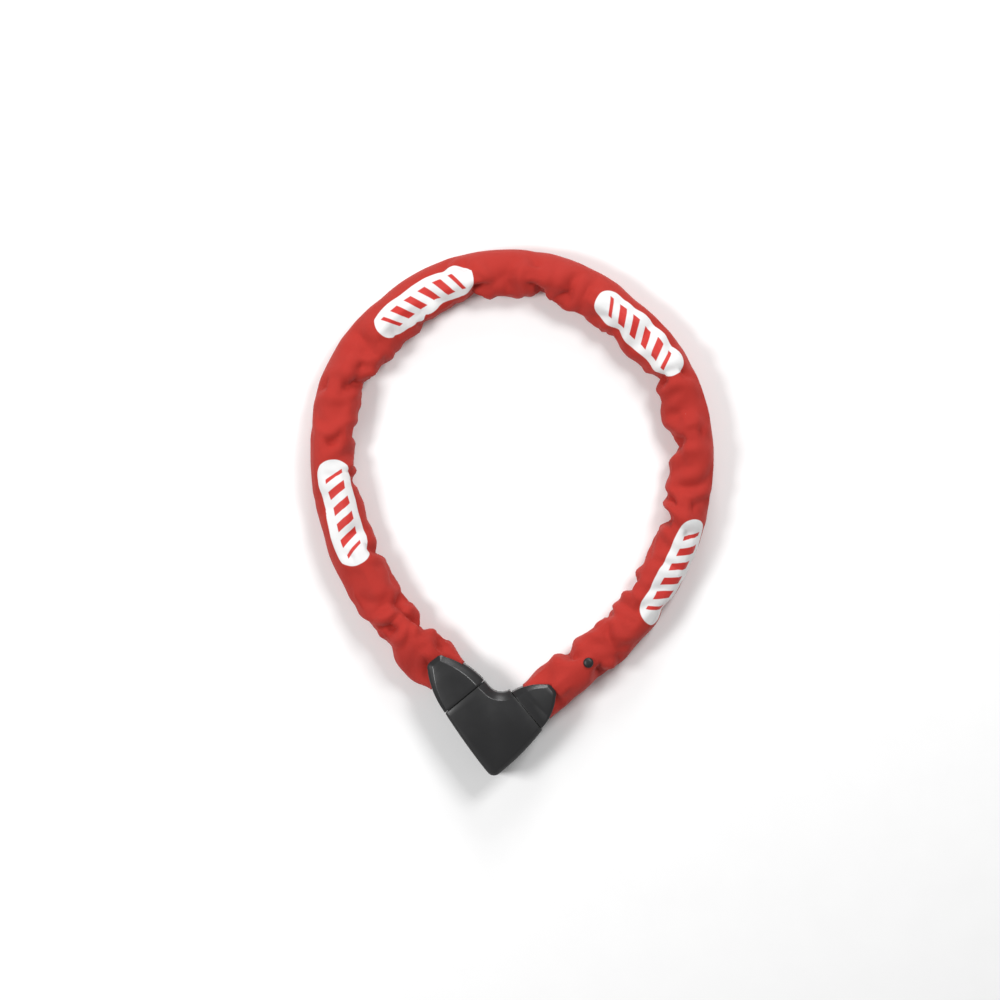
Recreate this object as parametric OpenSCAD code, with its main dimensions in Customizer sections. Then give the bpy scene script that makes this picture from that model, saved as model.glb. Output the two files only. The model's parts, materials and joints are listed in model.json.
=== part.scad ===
// Chain lock: a square-bar chain in a fabric sleeve, closed into a loop by a V-shaped lock body.
// The lock lies flat on z = 0 with the lock body towards -Y. One end of the chain is anchored in
// the body's fixed arm, and the other ends in a plug whose bolt pushes into the body's socket.

/* [Lock body] */
// Thickness of the lock body and of both collars
body_thickness = 28; // [28:0.5:32]
// Wall of the plastic covers
cover_wall = 2.2; // [1.8:0.1:2.2]
// Direction of the fixed arm, in degrees from +X
arm_angle = 39.7; // [39.2:0.1:40.2]
// Diameter of the cover screws
screw_d = 3; // [2.5:0.1:3]

/* [Bolt and latch] */
// Diameter of the locking bolt
bolt_d = 12; // [11.6:0.1:12]
// Depth of the bolt's locking groove
groove_depth = 1.8; // [1.6:0.1:1.8]
// Diameter of the pins that hold the chain's two end links
pin_d = 6; // [5:0.1:6]

/* [Chain] */
// Side of the square bar that the links are bent from
bar = 6; // [5:0.5:6]
// Length of the opening in a link
link_opening_length = 29; // [29:0.5:30]
// Width of the opening in a link
link_opening_width = 10.4; // [10:0.1:10.4]

/* [Sleeve] */
// Thickness of the fabric tube, with its play around the chain
sleeve_wall = 1; // [0.8:0.1:1]
// Half the width of the sleeve where it tucks into a collar
sleeve_neck_width = 13.2; // [13.1:0.1:13.3]
// Half the height of the sleeve between a collar's tongues
sleeve_neck_height = 11.1; // [11:0.1:11.1]

/* [Hidden] */
$fn = 48;
mid_z = body_thickness / 2;
sleeve_radius = mid_z;
fit = 0.05;
bolt_r = bolt_d / 2;
pin_r = pin_d / 2;

// The two arms' axes cross here. Inside lock_frame(), +X runs out along the fixed arm, +Y runs out
// along the plug's arm, and z = 0 is the middle of the thickness.
cross = [-9.8, -137.3];
plug_seam = 30.4;
fixed_seam = 23.7;
seam_gap = 0.5;
anchor_x = 27;
plug_pin_y = 44;

// Cylinder lock on the plug's axis, its key face towards -Y
key_face = -14.9;
core_end = -1.5;
core_r = 6.5;
housing_r = 8.45;
disc_count = 6;
disc_thickness = 1.2;
spacer_thickness = 0.7;
disc_r = 4.95;
keyway = [2.8, 6.2];

// Cam that draws the latch back: its reach falls evenly by cam_rate for each radian turned
cam_reach = 7;
cam_rate = 1.4;
cam_base_r = 4.5;
latch_y = 10;
latch_width = 3.6;
latch_tip = 6.5;
latch_back = 11.5;
shutter_pivot = [-6, -7.5];
shutter_y = -16.95;
keyhole_r = 3.8;

// Chain
link_count = 29;
link_end_r = link_opening_width / 2;
link_straight = link_opening_length - link_opening_width;
end_offset = link_opening_length / 2 - pin_r - 0.7;

// The middle line of the chain, from inside the fixed arm round to inside the plug
function from_lock(p) = cross + [p.x * cos(arm_angle) - p.y * sin(arm_angle),
                                 p.x * sin(arm_angle) + p.y * cos(arm_angle)];
run_in = 8;
ROUTE = concat(
    [from_lock([anchor_x - run_in, 0]), from_lock([anchor_x + 5, 0]), from_lock([anchor_x + 19, 0])],
    [[44, -93], [64, -76], [81, -57], [94, -35], [104, -12], [109.5, 12], [112, 36], [109, 60],
     [101, 83], [88, 103], [70, 120], [49, 134.3], [25, 144.6], [0, 148.2], [-25, 145.8], [-48.5, 137.7],
     [-70, 123.4], [-88, 105], [-102, 84], [-110, 60], [-112, 36], [-110, 12], [-103.5, -12],
     [-94, -34], [-82, -55], [-66.5, -72]],
    [from_lock([0, plug_pin_y + 18]), from_lock([0, plug_pin_y + 5]), from_lock([0, plug_pin_y - run_in])]);

function spline(a, b, c, d, t) =
    0.5 * (2 * b + (c - a) * t + (2 * a - 5 * b + 4 * c - d) * t * t
           + (3 * b - a - 3 * c + d) * t * t * t);
route_last = len(ROUTE) - 1;
route_steps = 12;
fine = concat(
    [for (i = [0 : route_last - 1], k = [0 : route_steps - 1])
        spline(ROUTE[max(i - 1, 0)], ROUTE[i], ROUTE[i + 1], ROUTE[min(i + 2, route_last)],
               k / route_steps)],
    [ROUTE[route_last]]);
arc_at = [for (i = 0, s = -run_in; i < len(fine);
               s = s + (i + 1 < len(fine) ? norm(fine[i + 1] - fine[i]) : 0), i = i + 1) s];
x_table = [for (i = [0 : len(fine) - 1]) [arc_at[i], fine[i].x]];
y_table = [for (i = [0 : len(fine) - 1]) [arc_at[i], fine[i].y]];
// Distance along the middle line between the two pins
chain_run = arc_at[len(fine) - 1] - run_in;

function route_point(s) = [lookup(s, x_table), lookup(s, y_table)];

// The first and the last link lie flat round their pins. Between them the chain turns through a
// quarter over its first links and through another over its last ones, and lies pulled back a little
twist_in = 7;
twist_out = 12;
pull_back = 4;
slack_in = 7;
slack_out = 20;
link_pitch = (chain_run - 2 * end_offset) / (link_count - 1);
function share(n, links) = max(0, min(1, n / links));
function link_roll(k) = 90 * (share(k - 1, twist_in) + 1 - share(link_count - k, twist_out));
function link_arc(k) =
    end_offset + (k - 1) * link_pitch
    - pull_back * min(share(k - 1, slack_in), share(link_count - k, slack_out));
function link_name(k) = str("link_", k < 10 ? "0" : "", k);
function unit(v) = v / norm(v);

plastic = [0.21, 0.21, 0.22];
steel = [0.62, 0.63, 0.65];
dark_steel = [0.36, 0.37, 0.39];
brass = [0.78, 0.64, 0.34];
red = [0.72, 0.21, 0.18];

module lock_frame() {
    translate([cross.x, cross.y, mid_z])
        rotate([0, 0, arm_angle])
            children();
}

// A block given by its lowest and highest corners
module block(low, high) {
    translate(low)
        cube(high - low);
}

// A rod along +Y from y0 to y1, centred at [x, z]
module rod_y(r, y0, y1, at = [0, 0], r_end = -1) {
    translate([at.x, y0, at.y])
        rotate([-90, 0, 0])
            cylinder(h = y1 - y0, r1 = r, r2 = r_end < 0 ? r : r_end);
}

// A flat plate in the XZ plane from y0 to y1, drawn by a 2D child in [x, z]
module plate_y(y0, y1) {
    translate([0, y1, 0])
        rotate([90, 0, 0])
            linear_extrude(y1 - y0)
                children();
}

function arc(c, r, from, to, n) =
    [for (k = [0 : n]) let (t = from + (to - from) * k / n) c + r * [cos(t), sin(t)]];

// Points of a shallow curve from p to q that bulges to the right by rise, ends included
function bow(p, q, rise, n = 8) =
    let (side = unit([(q - p).y, -(q - p).x]))
    [for (k = [0 : n]) let (t = k / n) p + (q - p) * t + side * rise * 4 * t * (1 - t)];

function mirrored(points) = [for (k = [len(points) - 1 : -1 : 0]) [-points[k].x, points[k].y]];

// Outline of the V-shaped body, counter-clockwise
arm_half = 15.8;
crotch = [25.2, 25.7];
crotch_r = 9.5;
corner = [-13.9, -14.2];
corner_r = 5;
body_outline = concat(
    [[15.6, plug_seam]],
    bow([-arm_half, plug_seam], [corner.x - corner_r, corner.y + 3], 0.5),
    arc(corner, corner_r, 185, 262, 6),
    bow([corner.x + 1, corner.y - corner_r], [fixed_seam, -15.5], 1.1),
    arc(crotch, crotch_r, 261, 180, 10));

// Half the plug collar's outline in plan, from the seam to its blunt tip
plug_collar_side = concat(
    bow([15.7, plug_seam + seam_gap], [7.4, 58], 1.7),
    [[5.8, 60.9], [3.2, 62.2]]);
plug_collar_outline = concat(plug_collar_side, mirrored(plug_collar_side));
plug_mouth = 47;
plug_tip = 62.2;

// The same for the fixed collar, drawn along +Y and turned to lie along +X
fixed_collar_side = concat(
    bow([14.4, fixed_seam + seam_gap - 0.2], [5.4, 42.8], 1.7),
    [[4, 44.6], [2, 45.5]]);
fixed_collar_outline = concat(fixed_collar_side, mirrored(fixed_collar_side));
fixed_mouth = 31.5;
fixed_tip = 45.5;

tongue_gap = 11.4;
end_cavity = [11.5, tongue_gap];

// Upper half of the body: a shell in three steps that round its top edge
module body_half() {
    step_z = [-2.4, -1.1, 0];
    step_inset = [0, 0.7, 1.9];
    difference() {
        union() {
            for (k = [0 : 2])
                linear_extrude(mid_z + step_z[k])
                    offset(delta = -step_inset[k])
                        polygon(body_outline);
        }
        translate([0, 0, -1])
            linear_extrude(mid_z + 1 - cover_wall - 0.4)
                offset(delta = -cover_wall)
                    polygon(body_outline);
        rod_y(9.7, 27, plug_seam + 1);
        block([20, -end_cavity.x, -1], [fixed_seam + 1, end_cavity.x, 7.2]);
    }
}

// Keyhole, the slot that the shutter's knob slides along, and the pocket that the shutter swings in
module keyhole_cut() {
    rod_y(keyhole_r, -22, -16);
    block([-13.6, -17.3, -10.4], [6, -14.5, 10.4]);
    translate([shutter_pivot.x, -16, shutter_pivot.y])
        rotate([90, 0, 0])
            rotate_extrude(angle = 66, start = 50)
                translate([norm(shutter_pivot) - 1.4, 0])
                    square([2.8, 6]);
}

screw_places = [[-10.6, 22.5], [-10.6, 0.5], [10.6, 22.5], [14.4, -10]];

module front_cover() {
    color(plastic)
        lock_frame()
            difference() {
                body_half();
                keyhole_cut();
                // The strip of wall below the knob's slot would be left loose
                block([-9.4, -22, -1], [-2.6, -16, 1]);
                for (p = screw_places)
                    translate([p.x, p.y, 0])
                        cylinder(h = mid_z - 1, r = screw_d / 2);
            }
}

module back_cover() {
    color(plastic)
        lock_frame()
            difference() {
                mirror([0, 0, 1])
                    body_half();
                keyhole_cut();
                for (p = screw_places)
                    translate([p.x, p.y, -mid_z - 1]) {
                        cylinder(h = mid_z, r = screw_d / 2);
                        cylinder(h = 3, r = screw_d);
                    }
            }
}

module cover_screws() {
    color(dark_steel)
        lock_frame()
            for (p = screw_places)
                translate([p.x, p.y, -mid_z + 0.3])
                    difference() {
                        union() {
                            cylinder(h = 1.7, r = screw_d - 0.1);
                            cylinder(h = 2 * mid_z - 1.5, r = screw_d / 2 - fit);
                        }
                        translate([0, 0, -1])
                            cylinder(h = 2.2, r = 0.95, $fn = 6);
                    }
}

// Hardened case: it guides the bolt, the cylinder and the latch, and carries the anchor's ears
module lock_case() {
    color(steel)
        lock_frame()
            difference() {
                union() {
                    block([-13, -15.8, -9], [9.3, 0, 11]);
                    block([-13, -13.5, -9], [13, 28.2, 11]);
                    block([-13, -12.6, -9], [21.4, 12.6, 11]);
                    for (z = [-6.9, 3.3])
                        block([21.3, -7, z], [31.3, 7, z + 3.6]);
                }
                rod_y(bolt_r + fit, 3.2, 29);
                rod_y(housing_r + fit, -16, core_end + 0.1);
                rod_y(cam_reach + 0.5, core_end, 3.3);
                block([4, latch_y - latch_width / 2 - 0.1, -9.5],
                      [16.4, latch_y + latch_width / 2 + 0.1, 5.1]);
                block([4.7, -0.8, -9.5], [10.7, latch_y, 2.6]);
                block([16.9, -11.6, -3.3], [32, 11.6, 3.3]);
                translate([anchor_x, 0, -8])
                    cylinder(h = 16, r = pin_r + 0.02);
                for (p = screw_places)
                    translate([p.x, p.y, -10])
                        cylinder(h = 22, r = screw_d / 2 + 0.1);
                rod_y(1, -16, -13.4, shutter_pivot);
            }
}

module case_plate() {
    color(steel)
        lock_frame()
            difference() {
                union() {
                    block([-13, -13.5, -11], [13, 28.2, -9.05]);
                    block([-13, -12.6, -11], [21.4, 12.6, -9.05]);
                }
                for (p = screw_places)
                    translate([p.x, p.y, -12])
                        cylinder(h = 4, r = screw_d / 2 + 0.1);
            }
}

module cylinder_housing() {
    color(brass)
        lock_frame()
            difference() {
                rod_y(housing_r, key_face, core_end - 0.05);
                rod_y(core_r + fit, key_face - 1, core_end + 1);
                rod_y(1, key_face + 1, core_end - 1, [0, core_r]);
            }
}

// Flats on the core's tail carry the cam
module tail_2d() {
    intersection() {
        circle(r = 3.2);
        square([4.8, 8], center = true);
    }
}

module key_barrel() {
    color(brass)
        lock_frame()
            difference() {
                union() {
                    rod_y(core_r, key_face, core_end);
                    rod_y(3.2, core_end - 0.1, -0.6);
                    plate_y(-0.7, 3)
                        tail_2d();
                }
                rod_y(disc_r + fit, key_face + 0.7, -3.4);
                plate_y(key_face - 1, key_face + 1)
                    square(keyway, center = true);
                difference() {
                    rod_y(4, -1.4, -0.7);
                    rod_y(2.6, -1.5, -0.6);
                }
                block([-0.85, key_face + 0.7, 4], [0.85, -3.4, 7]);
            }
}

function disc_start(k) = key_face + 0.75 + k * (disc_thickness + spacer_thickness);

module locking_discs() {
    color(steel)
        lock_frame()
            for (k = [0 : disc_count - 1])
                plate_y(disc_start(k), disc_start(k) + disc_thickness - 0.02)
                    difference() {
                        circle(r = disc_r);
                        intersection() {
                            circle(r = 3.1);
                            square([keyway.x + 0.2 * k, 8], center = true);
                        }
                        translate([0, 5.65])
                            circle(r = 0.9);
                    }
}

module disc_spacers() {
    color(brass)
        lock_frame()
            for (k = [0 : disc_count - 2])
                plate_y(disc_start(k) + disc_thickness, disc_start(k + 1) - 0.02)
                    difference() {
                        circle(r = disc_r);
                        circle(r = 3.6);
                        translate([0, 5.65])
                            circle(r = 0.9);
                    }
}

module side_bar() {
    color(steel)
        lock_frame()
            rod_y(0.8, key_face + 0.8, -3.5, [0, 5.65]);
}

module barrel_clip() {
    color(dark_steel)
        lock_frame()
            plate_y(-1.35, -0.75)
                difference() {
                    circle(r = 5.2);
                    circle(r = 2.62);
                    translate([0, -4])
                        square([3.6, 8], center = true);
                }
}

// Each edge point's reach along its own direction falls evenly with the angle
function cam_edge(a) =
    let (reach = cam_reach - cam_rate * a * PI / 180)
    reach * [cos(a), sin(a)] - cam_rate * [-sin(a), cos(a)];

module drive_cam() {
    color(dark_steel)
        lock_frame()
            plate_y(-0.5, 2.9)
                difference() {
                    polygon(concat([for (a = [0 : 9 : 90]) cam_edge(a)],
                                   arc([0, 0], cam_base_r, 98, 285, 14)));
                    tail_2d();
                }
}

module latch() {
    half = latch_width / 2;
    foot = cam_reach + 0.1;
    color(dark_steel)
        lock_frame() {
            block([latch_tip, latch_y - half, -8.9], [latch_back, latch_y + half, 5]);
            block([foot + 1.3, 3, -8.9], [foot + 3.4, latch_y, 2.5]);
            block([foot, -0.6, -8.9], [foot + 3.4, 3.1, 2.5]);
        }
}

module coil_spring(r, wire, length, turns) {
    around = 18;
    sides = 6;
    last = turns * around;
    points = [for (i = [0 : last], j = [0 : sides - 1])
        let (a = 360 * i / around, b = 360 * j / sides, q = r + wire * cos(b))
        [q * cos(a), q * sin(a), wire + (length - 2 * wire) * i / last + wire * sin(b)]];
    walls = [for (i = [0 : last - 1], j = [0 : sides - 1])
        let (n = (j + 1) % sides)
        [i * sides + j, i * sides + n, (i + 1) * sides + n, (i + 1) * sides + j]];
    polyhedron(points, concat(walls, [[for (j = [sides - 1 : -1 : 0]) j]],
                              [[for (j = [0 : sides - 1]) last * sides + j]]), convexity = 6);
}

module latch_spring() {
    color(steel)
        lock_frame()
            translate([latch_back + 0.05, latch_y, 0])
                rotate([0, 90, 0])
                    coil_spring(1.35, 0.3, 4.75, 4);
}

module keyhole_shutter() {
    color(plastic)
        lock_frame() {
            difference() {
                plate_y(shutter_y, shutter_y + 0.9)
                    hull() {
                        circle(r = 4.6, $fn = 32);
                        translate(shutter_pivot)
                            circle(r = 2.2, $fn = 32);
                    }
                rod_y(1.05, -18, -15, shutter_pivot);
            }
            rod_y(1, -18.7, shutter_y + 0.1);
        }
}

module shutter_pin() {
    color(steel)
        lock_frame()
            rod_y(0.98, -17.1, -13.4, shutter_pivot);
}

module anti_drill_plate() {
    color(dark_steel)
        lock_frame()
            difference() {
                rod_y(housing_r, -15.8, key_face - 0.05);
                rod_y(keyhole_r, -17, -14);
            }
}

module socket_bush() {
    color(plastic)
        lock_frame()
            difference() {
                rod_y(9.6, 28.3, plug_seam - 0.1);
                rod_y(bolt_r + 0.1, 28, 31);
            }
}

module link_pin(at) {
    color(steel)
        lock_frame()
            translate([at.x, at.y, -7.1])
                cylinder(h = 14.2, r = pin_r);
}

module anchor_pin() {
    link_pin([anchor_x, 0]);
}

module plug_link_pin() {
    link_pin([0, plug_pin_y]);
}

// Upper half of a collar along +Y: a hollow root and a tapered tongue that covers the sleeve's end
module collar_half(outline, seam, mouth, tip) {
    difference() {
        intersection() {
            linear_extrude(mid_z)
                polygon(outline);
            rotate([90, 0, 90])
                translate([0, 0, -20])
                    linear_extrude(40)
                        polygon([[seam - 1, -1], [tip + 1, -1], [tip + 1, 12.6], [tip - 2, 13.1],
                                 [tip - 13, mid_z], [seam - 1, mid_z]]);
        }
        block([-end_cavity.x, seam + 2, -1], [end_cavity.x, mouth + 1, end_cavity.y]);
        block([-20, mouth, -1], [20, tip + 2, tongue_gap]);
        children();
    }
}

module plug_collar_half() {
    collar_half(plug_collar_outline, plug_seam + seam_gap, plug_mouth, plug_tip)
        rod_y(9.05, plug_seam - 1, plug_seam + 4);
}

module fixed_collar_half() {
    rotate([0, 0, -90])
        collar_half(fixed_collar_outline, fixed_seam, fixed_mouth, fixed_tip)
            block([-end_cavity.x, fixed_seam - 1, -1], [end_cavity.x, fixed_seam + 4, 7.2]);
}

module plug_collar_front() {
    color(plastic)
        lock_frame()
            plug_collar_half();
}

module plug_collar_back() {
    color(plastic)
        lock_frame()
            mirror([0, 0, 1])
                plug_collar_half();
}

module fixed_collar_front() {
    color(plastic)
        lock_frame()
            fixed_collar_half();
}

module fixed_collar_back() {
    color(plastic)
        lock_frame()
            mirror([0, 0, 1])
                fixed_collar_half();
}

bolt_tip = 4.6;
seal_y = 26;
seal_r = 0.65;

module locking_bolt() {
    color(steel)
        lock_frame()
            difference() {
                union() {
                    rod_y(bolt_r - 1.2, bolt_tip, bolt_tip + 1.5, [0, 0], bolt_r);
                    rod_y(bolt_r, bolt_tip + 1.5, 32);
                    rod_y(9, plug_seam + 0.6, 33.2);
                    block([-7.6, 33, -6.9], [7.6, 48.3, 6.9]);
                }
                difference() {
                    rod_y(bolt_r + 2, latch_y - 2.1, latch_y + 2.1);
                    rod_y(bolt_r - groove_depth, latch_y - 3, latch_y + 3);
                }
                difference() {
                    rod_y(bolt_r + 2, seal_y - 0.8, seal_y + 0.8);
                    rod_y(bolt_r - 2 * seal_r, seal_y - 1, seal_y + 1);
                }
                block([-9, 33.9, -3.3], [9, 50, 3.3]);
                translate([0, plug_pin_y, -8])
                    cylinder(h = 16, r = pin_r + 0.02);
            }
}

module bolt_seal() {
    color(plastic)
        lock_frame()
            translate([0, seal_y, 0])
                rotate([90, 0, 0])
                    rotate_extrude()
                        translate([bolt_r - seal_r, 0])
                            circle(r = seal_r);
}

// One link of square bar, flat in the XY plane, its length along X
module link_shape() {
    for (side = [-1, 1]) {
        translate([-link_straight / 2, side * (link_end_r + bar / 2) - bar / 2, -bar / 2])
            cube([link_straight, bar, bar]);
        translate([side * link_straight / 2, 0, 0])
            rotate([0, 0, side > 0 ? -90 : 90])
                rotate_extrude(angle = 180)
                    translate([link_end_r, -bar / 2])
                        square([bar, bar]);
    }
}

// Even links stand across the odd ones. Each lies along the chord between its neighbours
module chain_link(k) {
    a = route_point(link_arc(k) - link_pitch / 2);
    b = route_point(link_arc(k) + link_pitch / 2);
    color(steel)
        translate([(a.x + b.x) / 2, (a.y + b.y) / 2, mid_z])
            rotate([0, 0, atan2(b.y - a.y, b.x - a.x)])
                rotate([link_roll(k) + (k % 2 == 1 ? 0 : 90), 0, 0])
                    link_shape();
}

stud_at = [46.8, -92.4];

// Moulded head of the push rivet that holds the sleeve to the second link
module sleeve_stud() {
    color(plastic)
        translate([stud_at.x, stud_at.y, mid_z + sleeve_radius + 0.05]) {
            cylinder(h = 0.6, r = 3.2);
            translate([0, 0, 0.6])
                cylinder(h = 0.7, r1 = 3.2, r2 = 2.3);
        }
}

// Sleeve: an oval tube that is narrow inside the collars and round everywhere else
sleeve_sides = 16;
sleeve_rings = 62;
sleeve_from = fixed_mouth + 0.3 - anchor_x;
sleeve_to = chain_run - (plug_mouth + 0.3 - plug_pin_y);
tongue_reach = fixed_tip + 0.2 - anchor_x;

// Ring places are closer together at both ends, where the section changes
function ring_arc(k) =
    let (t = k / sleeve_rings)
    sleeve_from + (sleeve_to - sleeve_from) * (t - 0.1 * sin(360 * t));

function grow(s, from, over, small) =
    small + (sleeve_radius - small) * max(0, min(1, (s - from) / over));

function sleeve_ring(k, wall) =
    let (s = ring_arc(k),
         end = min(s, chain_run - s),
         p = route_point(s),
         ahead = unit(route_point(s + 1) - route_point(s - 1)),
         half_width = grow(end, tongue_reach + 2, 20, sleeve_neck_width) - wall,
         half_height = grow(end, tongue_reach + 1.5, 6, sleeve_neck_height) - wall)
    [for (j = [0 : sleeve_sides - 1])
        let (a = 360 * (j + 0.5) / sleeve_sides, c = cos(180 / sleeve_sides))
        [p.x + ahead.y * half_width * cos(a) / c,
         p.y - ahead.x * half_width * cos(a) / c,
         mid_z + half_height * sin(a) / c]];

module fabric_sleeve() {
    m = sleeve_sides;
    inner = (sleeve_rings + 1) * m;
    last = sleeve_rings * m;
    points = concat(
        [for (k = [0 : sleeve_rings]) each sleeve_ring(k, 0)],
        [for (k = [0 : sleeve_rings]) each sleeve_ring(k, sleeve_wall)]);
    faces = [for (k = [0 : sleeve_rings - 1], j = [0 : m - 1])
        let (n = (j + 1) % m, a = k * m)
        each [[a + j, a + n, a + m + n, a + m + j],
              [inner + a + j, inner + a + m + j, inner + a + m + n, inner + a + n]]];
    ends = [for (j = [0 : m - 1])
        let (n = (j + 1) % m)
        each [[j, inner + j, inner + n, n],
              [last + j, last + n, inner + last + n, inner + last + j]]];
    color(red)
        polyhedron(points, concat(faces, ends), convexity = 8);
}

front_cover();
back_cover();
cover_screws();
lock_case();
case_plate();
cylinder_housing();
key_barrel();
locking_discs();
disc_spacers();
side_bar();
barrel_clip();
drive_cam();
latch();
latch_spring();
keyhole_shutter();
shutter_pin();
anti_drill_plate();
socket_bush();
anchor_pin();
fixed_collar_front();
fixed_collar_back();
locking_bolt();
bolt_seal();
plug_link_pin();
plug_collar_front();
plug_collar_back();
sleeve_stud();
fabric_sleeve();
for (k = [1 : link_count])
    chain_link(k);
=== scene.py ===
"""Looks of the chain lock: covers, collars, fabric sleeve, materials, light and camera."""

import json
import math

import bmesh
import bpy
import numpy as np
from mathutils import Matrix, Vector


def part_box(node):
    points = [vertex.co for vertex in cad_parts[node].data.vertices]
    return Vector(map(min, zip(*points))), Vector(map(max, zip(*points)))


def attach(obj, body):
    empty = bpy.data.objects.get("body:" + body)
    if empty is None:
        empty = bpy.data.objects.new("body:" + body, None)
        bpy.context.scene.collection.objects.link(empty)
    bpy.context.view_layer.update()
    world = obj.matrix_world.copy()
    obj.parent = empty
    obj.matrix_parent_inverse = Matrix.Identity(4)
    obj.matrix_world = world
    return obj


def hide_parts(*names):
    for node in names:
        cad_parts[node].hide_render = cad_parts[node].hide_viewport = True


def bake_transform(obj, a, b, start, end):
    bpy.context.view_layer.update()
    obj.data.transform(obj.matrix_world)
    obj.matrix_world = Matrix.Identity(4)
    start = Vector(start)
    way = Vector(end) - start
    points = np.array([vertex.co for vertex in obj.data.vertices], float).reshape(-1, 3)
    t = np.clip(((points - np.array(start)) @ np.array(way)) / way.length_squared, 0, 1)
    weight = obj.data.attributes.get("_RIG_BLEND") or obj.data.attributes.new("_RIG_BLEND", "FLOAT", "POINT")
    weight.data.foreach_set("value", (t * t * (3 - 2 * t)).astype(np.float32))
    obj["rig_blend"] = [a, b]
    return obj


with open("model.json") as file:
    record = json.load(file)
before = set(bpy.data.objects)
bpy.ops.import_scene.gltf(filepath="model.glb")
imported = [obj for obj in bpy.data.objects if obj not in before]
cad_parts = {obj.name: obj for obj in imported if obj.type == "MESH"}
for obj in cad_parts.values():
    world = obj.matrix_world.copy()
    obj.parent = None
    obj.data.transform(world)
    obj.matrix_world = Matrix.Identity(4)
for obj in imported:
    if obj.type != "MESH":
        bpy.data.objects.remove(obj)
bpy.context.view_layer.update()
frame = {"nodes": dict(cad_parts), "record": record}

# The lock's own frame, in millimetres as in part.scad: +X along the fixed arm, +Y along the plug's
CROSS = (-9.8, -137.3)
ARM_ANGLE = math.radians(39.7)
MID_Z = 14.0
PLUG_SEAM = 30.4
FIXED_SEAM = 23.7
SEAM_GAP = 0.5
ANCHOR_X = 27.0
PLUG_PIN_Y = 44.0
PLUG_MOUTH = 47.0
PLUG_TIP = 62.2
FIXED_MOUTH = 31.5
FIXED_TIP = 45.5
TONGUE_GAP = 11.4
WALL = 2.2
SOCKET_R = 9.7
BOLT_WAY_R = 9.05
KEYHOLE_R = 3.8
CAVITY_HALF = 11.5
CAVITY_TOP = 7.2


def from_lock(x, y):
    """A point of the lock's frame in the object's frame, in millimetres."""
    c, s = math.cos(ARM_ANGLE), math.sin(ARM_ANGLE)
    return (CROSS[0] + x * c - y * s, CROSS[1] + x * s + y * c)


LOCK_MATRIX = (
    Matrix.Translation((CROSS[0] / 1000, CROSS[1] / 1000, MID_Z / 1000))
    @ Matrix.Rotation(ARM_ANGLE, 4, "Z")
    @ Matrix.Scale(0.001, 4)
)


# ---------------------------------------------------------------- materials


def new_material(name):
    """An empty node material, its Principled shader and its node tree."""
    mat = bpy.data.materials.new(name)
    mat.use_nodes = True
    tree = mat.node_tree
    return mat, tree.nodes["Principled BSDF"], tree


def node(tree, kind, inputs=None, **settings):
    """A new node with its settings, and with numbers or sockets put in its inputs."""
    made = tree.nodes.new(kind)
    for key, value in settings.items():
        setattr(made, key, value)
    for key, value in (inputs or {}).items():
        if isinstance(value, bpy.types.NodeSocket):
            tree.links.new(value, made.inputs[key])
        else:
            made.inputs[key].default_value = value
    return made


def math_node(tree, operation, a, b=0.0, c=0.0, clamp=False):
    """The result of one math operation on numbers or sockets."""
    return node(tree, "ShaderNodeMath", {0: a, 1: b, 2: c}, operation=operation, use_clamp=clamp).outputs[0]


def mix_color(tree, factor, a, b):
    """Colour a at factor 0 and b at factor 1."""
    made = node(tree, "ShaderNodeMix", {0: factor, 6: a, 7: b}, data_type="RGBA")
    return made.outputs[2]


def noise(tree, vector, scale, detail=3.0, roughness=0.5):
    """Noise from 0 to 1."""
    made = node(
        tree,
        "ShaderNodeTexNoise",
        {"Vector": vector, "Scale": scale, "Detail": detail, "Roughness": roughness},
    )
    return made.outputs["Fac"]


def object_coords(tree):
    """Coordinates that stay with the piece, in metres."""
    return node(tree, "ShaderNodeTexCoord").outputs["Object"]


def bump(tree, shader, height, distance, strength=1.0):
    """Bump of that height in metres on the shader."""
    made = node(tree, "ShaderNodeBump", {"Height": height, "Distance": distance, "Strength": strength})
    tree.links.new(made.outputs["Normal"], shader.inputs["Normal"])


def plastic_material(name, color, edge_highlight_color, roughness, grain):
    """Moulded plastic: fine spark-eroded grain, a slightly uneven gloss, and a painted highlight on its
    sharp edges, lighter in patches.
    """
    mat, shader, tree = new_material(name)
    coords = object_coords(tree)
    cloud = noise(tree, coords, 90.0, 4.0, 0.6)
    fine = noise(tree, coords, 2600.0, 2.0, 0.6)
    edge = node(tree, "ShaderNodeNewGeometry").outputs["Pointiness"]
    # Painted highlight: the colour turns lighter on sharp convex edges, in cloudy patches
    edge_highlight_mask = math_node(tree, "MULTIPLY_ADD", edge, 9.0, -4.75, clamp=True)
    patchy = math_node(tree, "MULTIPLY_ADD", cloud, 1.2, -0.1, clamp=True)
    edge_highlight_mask = math_node(tree, "MULTIPLY", edge_highlight_mask, patchy)
    tree.links.new(mix_color(tree, edge_highlight_mask, (*color, 1), (*edge_highlight_color, 1)), shader.inputs["Base Color"])
    gloss = math_node(tree, "MULTIPLY_ADD", cloud, 0.16, roughness - 0.08)
    tree.links.new(math_node(tree, "MULTIPLY_ADD", fine, 0.06, gloss), shader.inputs["Roughness"])
    shader.inputs["IOR"].default_value = 1.5
    bump(tree, shader, fine, grain)
    return mat


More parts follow.
